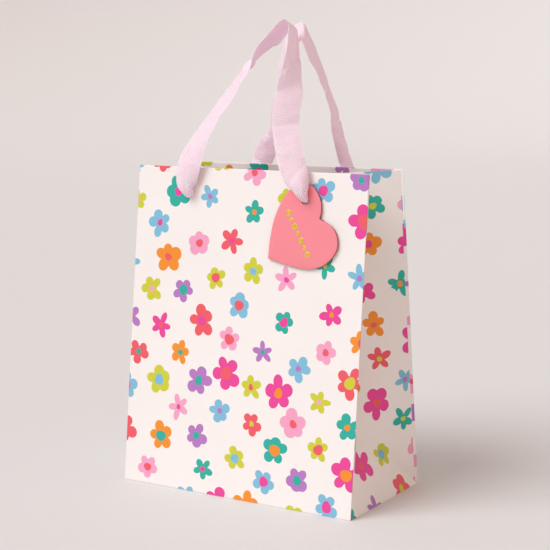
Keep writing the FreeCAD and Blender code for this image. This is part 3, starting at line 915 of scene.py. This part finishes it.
BACK_TOP = [
    ((0.0, -30.7, 31.6, 255.3), (5.0, -25.3, 30.2, 255.1), (10.0, -20.4, 29.5, 254.9), (15.0, -15.7, 29.2, 254.5), (20.0, -11.4, 29.4, 254.0)),
    ((0.0, -18.3, 30.1, 270.9), (5.0, -13.3, 27.7, 270.7), (10.0, -8.7, 25.8, 270.4), (15.0, -4.3, 24.2, 270.1), (20.0, -0.2, 23.1, 269.7)),
    ((0.0, -12.7, 26.2, 285.4), (5.0, -8.0, 23.9, 285.2), (10.0, -3.5, 21.9, 285.0), (15.0, 1.0, 20.1, 284.8), (20.0, 5.2, 18.6, 284.5)),
    ((0.0, -9.2, 23.2, 295.5), (2.5, -6.9, 21.5, 295.5), (5.0, -4.6, 19.9, 295.4), (12.5, 2.0, 17.7, 294.9), (20.0, 8.6, 15.4, 294.4)),
    ((0.0, -5.3, 21.9, 303.2), (3.0, -2.9, 21.1, 302.9), (6.0, -0.5, 20.4, 302.6), (13.0, 5.5, 16.3, 302.3), (20.0, 11.5, 12.1, 302.0)),
    ((0.0, -2.4, 19.4, 313.1), (5.0, 2.0, 16.6, 312.8), (10.0, 6.3, 14.1, 312.5), (15.0, 10.4, 11.8, 312.2), (20.0, 14.3, 9.8, 311.8)),
    ((0.0, 1.1, 17.3, 325.1), (5.0, 5.5, 14.1, 324.5), (10.0, 9.5, 11.3, 323.8), (15.0, 13.5, 8.8, 323.0), (20.0, 17.1, 6.7, 322.2)),
    ((0.0, 5.2, 15.7, 337.8), (5.0, 9.1, 12.5, 336.6), (10.0, 12.9, 9.6, 335.4), (15.0, 16.6, 6.8, 334.1), (20.0, 20.1, 4.3, 332.8)),
    ((0.0, 11.8, 15.0, 347.7), (5.0, 14.3, 12.7, 345.0), (10.0, 16.8, 10.5, 342.2), (15.0, 20.0, 6.9, 339.7), (20.0, 23.3, 3.4, 337.2)),
    ((0.0, 17.0, 15.2, 351.5), (5.0, 18.9, 12.8, 348.3), (10.0, 20.9, 10.4, 345.1), (15.0, 23.5, 7.0, 342.0), (20.0, 26.1, 3.6, 339.0)),
    ((0.0, 21.6, 16.4, 352.9), (5.0, 23.4, 13.0, 349.6), (10.0, 25.2, 9.6, 346.4), (15.0, 26.5, 6.6, 343.0), (20.0, 27.8, 3.6, 339.7)),
    ((0.0, 24.9, 18.4, 346.4), (4.5, 26.5, 14.1, 344.2), (9.0, 28.1, 9.9, 342.0), (14.5, 29.0, 6.3, 339.0), (20.0, 29.9, 2.8, 336.0)),
    ((0.0, 27.6, 20.1, 339.4), (4.0, 29.0, 16.2, 338.0), (8.0, 30.4, 12.4, 336.5), (14.0, 31.1, 7.6, 334.1), (20.0, 31.8, 2.7, 331.7)),
    ((0.0, 30.4, 22.0, 330.2), (5.0, 31.8, 16.9, 329.1), (10.0, 32.9, 12.1, 327.9), (15.0, 33.8, 7.7, 326.7), (20.0, 34.5, 3.6, 325.5)),
    ((0.0, 34.5, 24.4, 318.3), (5.5, 35.6, 18.6, 318.2), (11.0, 36.7, 12.8, 318.2), (15.5, 37.6, 9.1, 318.0), (20.0, 38.5, 5.4, 317.8)),
    ((0.0, 37.8, 26.9, 307.1), (4.5, 38.6, 23.1, 307.1), (9.0, 39.5, 19.4, 307.1), (14.5, 40.7, 13.7, 307.3), (20.0, 42.0, 7.9, 307.5)),
    ((0.0, 39.4, 29.2, 298.8), (4.5, 41.2, 24.6, 299.2), (9.0, 43.0, 20.1, 299.6), (14.5, 43.5, 15.2, 299.9), (20.0, 44.0, 10.4, 300.1)),
    ((0.0, 42.3, 32.1, 288.3), (5.5, 43.5, 26.0, 288.8), (11.0, 44.8, 19.9, 289.4), (15.5, 45.3, 16.5, 289.6), (20.0, 45.8, 13.1, 289.8)),
    ((0.0, 45.5, 37.8, 268.9), (5.5, 46.9, 31.6, 269.7), (11.0, 48.4, 25.5, 270.4), (15.5, 48.3, 22.1, 270.7), (20.0, 48.3, 18.6, 271.1)),
]


def nurbs(points, per_span=14):
    """Points along a smooth NURBS line with these control points."""
    data = bpy.data.curves.new("route", "CURVE")
    data.dimensions = "3D"
    sp = data.splines.new("NURBS")
    sp.points.add(len(points) - 1)
    for q, p in zip(sp.points, points):
        q.co = (p[0], p[1], p[2], 1.0)
    sp.order_u = 3
    sp.use_endpoint_u = True
    sp.resolution_u = per_span
    data.resolution_u = per_span
    ob = bpy.data.objects.new("route", data)
    scene.collection.objects.link(ob)
    bpy.context.view_layer.update()
    me = bpy.data.meshes.new_from_object(ob)
    out = np.array([v.co[:] for v in me.vertices], float)
    bpy.data.objects.remove(ob)
    bpy.data.curves.remove(data)
    bpy.data.meshes.remove(me)
    return out


def smooth_rows(a, times):
    for _ in range(times):
        b = a.copy()
        b[1:-1] = 0.5 * a[1:-1] + 0.25 * (a[:-2] + a[2:])
        a = b
    return a


def through(at, xs, ys):
    """A smooth line through ys at xs, read at the given places."""
    xs, ys = np.array(xs, float), np.array(ys, float)
    m = np.gradient(ys, xs, axis=0)
    k = np.clip(np.searchsorted(xs, at) - 1, 0, len(xs) - 2)
    h = (xs[k + 1] - xs[k])[:, None]
    t = np.clip((at - xs[k])[:, None] / h, 0, 1)
    return ((2 * t ** 3 - 3 * t ** 2 + 1) * ys[k] + (t ** 3 - 2 * t ** 2 + t) * h * m[k]
            + (3 * t ** 2 - 2 * t ** 3) * ys[k + 1] + (t ** 3 - t ** 2) * h * m[k + 1])


def lay_top(top, C2, at, arc, full, rows):
    """Lay the band's creased turn, set by rows of points across it, into the band's surface."""
    place, low = [], 0
    for row in rows:
        R = np.array(row)
        mid = np.array([np.interp(full / 2, R[:, 0], R[:, 1 + c]) for c in range(3)])
        d = np.linalg.norm(C2[low:] - mid, axis=1)
        low = min(low + int(d.argmin()), len(C2) - 1)
        place.append(at[low])
        low += 4
    R = np.array(rows)
    inside = np.where((at >= place[0]) & (at <= place[-1]))[0]
    knots = through(at[inside], place, R.reshape(len(rows), -1)).reshape(len(inside), -1, 4)
    for n, i in enumerate(inside):
        K = knots[n]
        line = np.stack([np.interp(arc + full / 2, K[:, 0], K[:, 1 + c]) for c in range(3)], 1)
        w = smooth(place[0], place[1], at[i]) * (1 - smooth(place[-2], place[-1], at[i]))
        top[i] = top[i] * (1 - w) + line * w
    return top


def normals_of(top):
    nn = np.cross(np.gradient(top, axis=0), np.gradient(top, axis=1))
    return nn / np.maximum(np.linalg.norm(nn, axis=2), 1e-9)[..., None]


def band(name, stations, full=20.0, across=26, step=0.8, flat_side=-1.0, wrinkle=1.0, seed=1.0, start_along=0.0,
         thick=0.6, turn=None, creases=()):
    """A woven band along the stations: where it is gathered narrower than its full width, the spare width folds."""
    S = np.array(stations, float)
    C = nurbs(S[:, :3] * MM) / MM
    E = nurbs((S[:, :3] + S[:, 3:6] / 2) * MM) / MM
    wl = np.linalg.norm(S[:, 3:6], axis=1)
    Wn = nurbs(np.stack([wl, np.zeros(len(wl)), np.zeros(len(wl))], 1) * MM) / MM
    seg = np.linalg.norm(np.diff(C, axis=0), axis=1)
    L = np.concatenate([[0], np.cumsum(seg)])
    n = int(L[-1] / step) + 1
    at = np.linspace(0, L[-1], n)
    take = lambda A: np.stack([np.interp(at, L, A[:, k]) for k in range(A.shape[1])], 1)
    C2, E2, width = take(C), take(E), take(Wn)[:, 0]
    W = E2 - C2
    Tn = np.gradient(C2, axis=0)
    Tn /= np.linalg.norm(Tn, axis=1)[:, None]
    W -= Tn * (W * Tn).sum(1)[:, None]
    W = smooth_rows(W / np.linalg.norm(W, axis=1)[:, None], 4)
    W -= Tn * (W * Tn).sum(1)[:, None]
    W /= np.linalg.norm(W, axis=1)[:, None]
    N = np.cross(Tn, W)
    X, Z = np.zeros((n, across)), np.zeros((n, across))
    arc = np.linspace(-full / 2, full / 2, across)
    fine = np.linspace(-full / 2, full / 2, 161)
    ds = fine[1] - fine[0]
    for i in range(n):
        w = min(max(width[i], 2.6), full * 0.997)
        gather = 1 - smooth(0.45, 0.85, w / full)
        lean = 1.6 * noise.noise(Vector((at[i] * 0.04, seed, 2.0)))
        lo, hi = 0.0, 2.6
        for _ in range(20):
            k = (lo + hi) / 2
            tight = 1 + 0.42 * (np.abs(fine) / (full / 2)) ** 1.5 * gather
            theta = (fine - lean * (1 - gather * 0.5)) * k * tight
            x = np.concatenate([[0], np.cumsum(np.cos((theta[1:] + theta[:-1]) / 2) * ds)])
            if x.max() - x.min() > w:
                lo = k
            else:
                hi = k
        z = np.concatenate([[0], np.cumsum(np.sin((theta[1:] + theta[:-1]) / 2) * ds)])
        z = -flat_side * z + 0.35 * gather * np.sin(fine * 1.15 + seed) + 0.16 * gather * np.sin(fine * 2.3 + 2 * seed)
        x = x - (x.max() + x.min()) / 2
        X[i], Z[i] = np.interp(arc, fine, x), np.interp(arc, fine, z)
        Z[i] -= Z[i].mean() * 0.85
    top = C2[:, None] + W[:, None] * X[..., None] + N[:, None] * Z[..., None]
    if turn:
        top = lay_top(top, C2, at, arc, full, turn)
    # the light waves and creases of a band that has been folded and handled
    nn = normals_of(top)
    for i in range(n):
        env = wrinkle * smooth(0, 14, at[i]) * smooth(0, 14, at[-1] - at[i])
        for j in range(across):
            v = arc[j] + full / 2
            d = env * (0.55 * noise.noise(Vector((at[i] * 0.07, v * 0.10, 5.0 * seed)))
                       + 0.22 * noise.noise(Vector((at[i] * 0.21, v * 0.19, 9.0 * seed))))
            for share, slant, amp, wide in creases:
                x = (at[i] - share * at[-1] - slant * (v - full / 2)) / wide
                d += amp * math.exp(-math.sqrt(x * x + 0.02))
            top[i, j] += nn[i, j] * d
    nn = normals_of(top)
    edge = np.ones(across)
    edge[0] = edge[-1] = 0.45
    half = thick / 2 * edge[None, :, None]
    up, down = top + nn * half, top - nn * half
    verts = np.concatenate([up.reshape(-1, 3), down.reshape(-1, 3)]) * MM
    m = n * across
    faces = []
    idx = lambda k, i, j: k * m + i * across + j
    for i in range(n - 1):
        for j in range(across - 1):
            faces.append((idx(0, i, j), idx(0, i + 1, j), idx(0, i + 1, j + 1), idx(0, i, j + 1)))
            faces.append((idx(1, i, j), idx(1, i, j + 1), idx(1, i + 1, j + 1), idx(1, i + 1, j)))
        for j, s in ((0, 1), (across - 1, -1)):
            f = (idx(0, i, j), idx(1, i, j), idx(1, i + 1, j), idx(0, i + 1, j))
            faces.append(f if s > 0 else f[::-1])
    for j in range(across - 1):
        for i, s in ((0, 1), (n - 1, -1)):
            f = (idx(0, i, j), idx(0, i, j + 1), idx(1, i, j + 1), idx(1, i, j))
            faces.append(f if s > 0 else f[::-1])
    ob = finish_mesh(name, verts, faces, twill, None, 60.0)
    me = ob.data
    weave = me.attributes.new("weave", "FLOAT_VECTOR", "POINT")
    coords = np.zeros((2 * m, 3), np.float32)
    for k in (0, 1):
        coords[k * m:(k + 1) * m, 0] = np.repeat(at + start_along, across)
        coords[k * m:(k + 1) * m, 1] = np.tile(arc + full / 2, n)
    weave.data.foreach_set("vector", coords.ravel())
    return ob, C2 * MM, L[-1] * MM


FRONT_CREASES = ((0.10, 0.25, -0.7, 2.2), (0.17, -0.5, 0.9, 2.4), (0.24, 0.5, -0.8, 2.0), (0.33, 0.6, -0.8, 1.8),
                 (0.62, 0.55, 0.8, 2.0), (0.67, -0.5, -0.7, 2.2), (0.775, 0.12, 1.5, 4.5), (0.86, -0.4, -0.8, 2.6),
                 (0.91, 0.7, 0.6, 2.0))
BACK_CREASES = ((0.13, 0.3, 0.8, 2.6), (0.27, -0.4, -0.6, 2.2), (0.70, 0.5, 1.0, 2.0), (0.78, -0.6, -0.8, 2.4),
                (0.88, 0.4, 0.8, 2.4))
for word, side, stations, turn, creases, sd in (("front", 1, FRONT_RIBBON, FRONT_TOP, FRONT_CREASES, 1.0),
                                                ("back", -1, BACK_RIBBON, BACK_TOP, BACK_CREASES, 2.0)):
    ob, path, length = band(word + "_handle_ribbon", stations, seed=sd, turn=turn, creases=creases, wrinkle=1.5)
    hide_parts(word + "_ribbon_handle")
    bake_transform(ob)
    print(word, "ribbon length", round(length, 4))


# ---- the knots inside the walls -------------------------------------------
# across the wall, up it and out of it from the hole, in millimetres, and the gathered width
KNOT = [
    (0.0, 0.0, -0.9, 4.2), (0.0, 0.2, -2.9, 4.0), (2.1, 0.8, -4.2, 3.9), (3.0, -0.8, -5.8, 3.9),
    (1.4, -2.2, -6.9, 3.9), (-1.4, -1.9, -6.3, 3.9), (-3.0, 0.0, -5.1, 3.9), (-1.8, 2.1, -5.5, 3.9),
    (0.6, 2.2, -7.1, 3.9), (1.3, 0.1, -7.6, 3.9), (0.5, -2.3, -6.6, 3.9), (-0.2, -4.4, -5.9, 4.3),
    (-1.0, -6.8, -5.7, 4.8), (-1.6, -9.2, -5.6, 5.4),
]


def make_knot(word, hand, side, hx, k):
    turn = 0.3 * (k % 2) - 0.15
    c, s = math.cos(turn), math.sin(turn)
    flip = -1.0 if k % 2 else 1.0
    P = np.array([(x * flip * c - y * s, x * flip * s + y * c, z) for x, y, z, w in KNOT])
    P[:, 0] -= math.copysign(1.7, hx) * np.clip(np.arange(len(P)) / 4.0, 0, 1)
    T3 = np.gradient(P, axis=0)
    out = P - np.array([0.0, 0.0, -5.7])
    Wd = np.cross(T3, out)
    Wd[:2] = (1.0, 0.0, 0.0)
    Wd[-3:] = (0.95, 0.1, 0.25)
    for i in range(1, len(Wd)):
        if Wd[i] @ Wd[i - 1] < 0:
            Wd[i] *= -1
    Wd /= np.linalg.norm(Wd, axis=1)[:, None]
    ex, ey, ez = (np.array(v) for v in (Vector((1, 0, 0)), wall_up(side), wall_normal(side)))
    hole = np.array(wall_place(side, hx, HOLE_T, 0.0)) * 1000
    axes = np.stack([ex, ey, ez])
    rows = [(*(hole + p @ axes), *(d @ axes * st[3])) for p, d, st in zip(P, Wd, KNOT)]
    ob, _, _ = band("%s_%s_knot_ribbon" % (word, hand), rows, across=22, step=0.5, wrinkle=0.3,
                    seed=3.0 + k, start_along=300.0 + 40 * k, thick=0.5)
    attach(ob, word + "_knots")
    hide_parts("%s_%s_knot" % (word, hand))
    return ob


for k, (word, side, hand, hx) in enumerate((("front", 1, "left", -HOLE_X), ("front", 1, "right", HOLE_X),
                                            ("back", -1, "left", HOLE_X), ("back", -1, "right", -HOLE_X))):
    make_knot(word, hand, side, hx, k)


# --------------------------------------------------------------------------
# Heart tag
# --------------------------------------------------------------------------
HEART = [
    (21.9, 182.3), (22.9, 196.7), (25.2, 210.0), (29.6, 221.5), (35.4, 231.0),
    (42.2, 236.8), (49.8, 238.6), (56.6, 236.6), (61.2, 231.6), (64.0, 226.0),
    (64.8, 219.6), (63.6, 213.4), (68.6, 211.4), (74.4, 208.2), (77.9, 203.6),
    (79.6, 197.9), (79.2, 192.6), (75.8, 186.4), (69.6, 180.8), (62.8, 178.0),
    (53.8, 176.8), (44.4, 177.6), (31.0, 180.2),
]
TAG_OFF, TAG_T = 0.8, 1.5


def heart_outline():
    out, sharp = [], [(21.9, 182.3), (63.6, 213.4)]
    n = len(HEART)
    for i in range(n):
        p, q, r, s = (HEART[(i + k) % n] for k in (-1, 0, 1, 2))
        if q in sharp:
            p = (2 * q[0] - r[0], 2 * q[1] - r[1])
        if r in sharp:
            s = (2 * r[0] - q[0], 2 * r[1] - q[1])
        for k in range(7):
            u = k / 7.0
            out.append(tuple(0.5 * (2 * q[c] + (r[c] - p[c]) * u + (2 * p[c] - 5 * q[c] + 4 * r[c] - s[c]) * u * u
                                    + (3 * q[c] - p[c] - 3 * r[c] + s[c]) * u ** 3) for c in (0, 1)))
    return np.array(out)


def inset(loop, d):
    """The loop moved inward by d; loop is counter-clockwise."""
    a = loop - np.roll(loop, 1, 0)
    b = np.roll(loop, -1, 0) - loop
    na = np.stack([-a[:, 1], a[:, 0]], 1) / np.linalg.norm(a, axis=1)[:, None]
    nb = np.stack([-b[:, 1], b[:, 0]], 1) / np.linalg.norm(b, axis=1)[:, None]
    m = na + nb
    m /= np.linalg.norm(m, axis=1)[:, None]
    return loop + m * d / np.clip((m * na).sum(1), 0.6, 1)[:, None]


def make_tag():
    face = srgb(253, 146, 157)
    # the board's cut edge and lower bevel: the core's own darker tone, deepened to a dark red-brown as painted shade
    edge_tone_and_painted_shade = srgb(150, 52, 62)
    loop = heart_outline()
    area = 0.5 * np.sum(loop[:, 0] * np.roll(loop[:, 1], -1) - np.roll(loop[:, 0], -1) * loop[:, 1])
    if area < 0:
        loop = loop[::-1]
    hn = 40
    ring = np.array([(HOLE_X * 1000 + 3.3 * math.cos(2 * math.pi * i / hn), HOLE_T * 1000 + 3.3 * math.sin(2 * math.pi * i / hn))
                     for i in range(hn)])[::-1]
    verts, faces, ink = [], [], []

    def put(x, t, n):
        bow = 0.0
        verts.append(wall_place(1, x * MM, t * MM, (n + bow) * MM))
        return len(verts) - 1

    levels = [(0.16, TAG_OFF), (0.0, TAG_OFF + 0.16), (0.0, TAG_OFF + TAG_T - 0.22), (0.07, TAG_OFF + TAG_T - 0.07), (0.22, TAG_OFF + TAG_T)]
    rows_of = []
    for shape in (loop, ring):
        rows = [[put(x, t, n) for x, t in inset(shape, d)] for d, n in levels]
        m = len(shape)
        for k in range(len(rows) - 1):
            for i in range(m):
                j = (i + 1) % m
                faces.append((rows[k][i], rows[k][j], rows[k + 1][j], rows[k + 1][i]))
                ink.append(face if k >= 2 else edge_tone_and_painted_shade)
        rows_of.append(rows)
    for level, out in ((len(levels) - 1, 1), (0, -1)):
        d, n = levels[level]
        a, b = inset(loop, d), inset(ring, d)
        co = [Vector(p) for p in a] + [Vector(p) for p in b]
        base = len(co)
        own = rows_of[0][level] + rows_of[1][level]
        for x in np.arange(22, 82, 4.0):
            for y in np.arange(177, 240, 4.0):
                co.append(Vector((x, y)))
        outlines = [list(range(len(a))), list(range(base - 1, len(a) - 1, -1))]
        v, e, f, ov, oe, of = delaunay_2d_cdt(co, [], outlines, 0, 1e-5, True)
        ids = {}
        for k, src in enumerate(ov):
            first = [s for s in src if s < base]
            ids[k] = own[first[0]] if first else None
        for tri, owners in zip(f, of):
            if 0 not in owners or 1 in owners:
                continue
            t = []
            for k in tri:
                if ids[k] is None:
                    ids[k] = put(v[k][0], v[k][1], n)
                t.append(ids[k])
            p, q, r = (Vector(v[k]) for k in tri)
            ccw = (q - p).cross(r - p) > 0
            if ccw != (out > 0):
                t = t[::-1]
            faces.append(tuple(t))
            ink.append(face)
    ob = finish_mesh("heart_tag_board", verts, faces, tag_board, ink, 40.0)
    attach(ob, "tag")
    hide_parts("heart_tag")

    # plain foil dots
    verts, faces = [], []
    for k in range(7):
        u = k / 6.0
        cx, cy = 37.6 + 17.6 * u, 216.5 - 29.4 * u
        r = 2.35 if k % 2 == 0 else 1.6
        rows = []
        for d, n in ((0.0, 0.0), (0.0, 0.05), (0.10, 0.09), (0.45, 0.10)):
            rows.append([put_list(verts, cx + (r - d) * math.cos(2 * math.pi * i / 28), cy + (r - d) * math.sin(2 * math.pi * i / 28),
                                  TAG_OFF + TAG_T + n) for i in range(28)])
        for a, b in zip(rows, rows[1:]):
            for i in range(28):
                j = (i + 1) % 28
                faces.append((a[i], a[j], b[j], b[i]))
        faces.append(tuple(rows[-1]))
        faces.append(tuple(rows[0][::-1]))
    dots = finish_mesh("tag_foil_spots", verts, faces, foil, None, 50.0)
    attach(dots, "tag")
    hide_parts("tag_foil_dots")


def put_list(verts, x, t, n):
    verts.append(wall_place(1, x * MM, t * MM, n * MM))
    return len(verts) - 1


make_tag()

# --------------------------------------------------------------------------
# CAD pieces that stay, with their materials
# --------------------------------------------------------------------------
for name, mat in (("base_board", grey_board), ("bottom_flap_left", plain_paper), ("bottom_flap_right", plain_paper),
                  ("front_stiffening_card", card_stock), ("back_stiffening_card", card_stock)):
    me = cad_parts[name].data
    me.materials.clear()
    me.materials.append(mat)
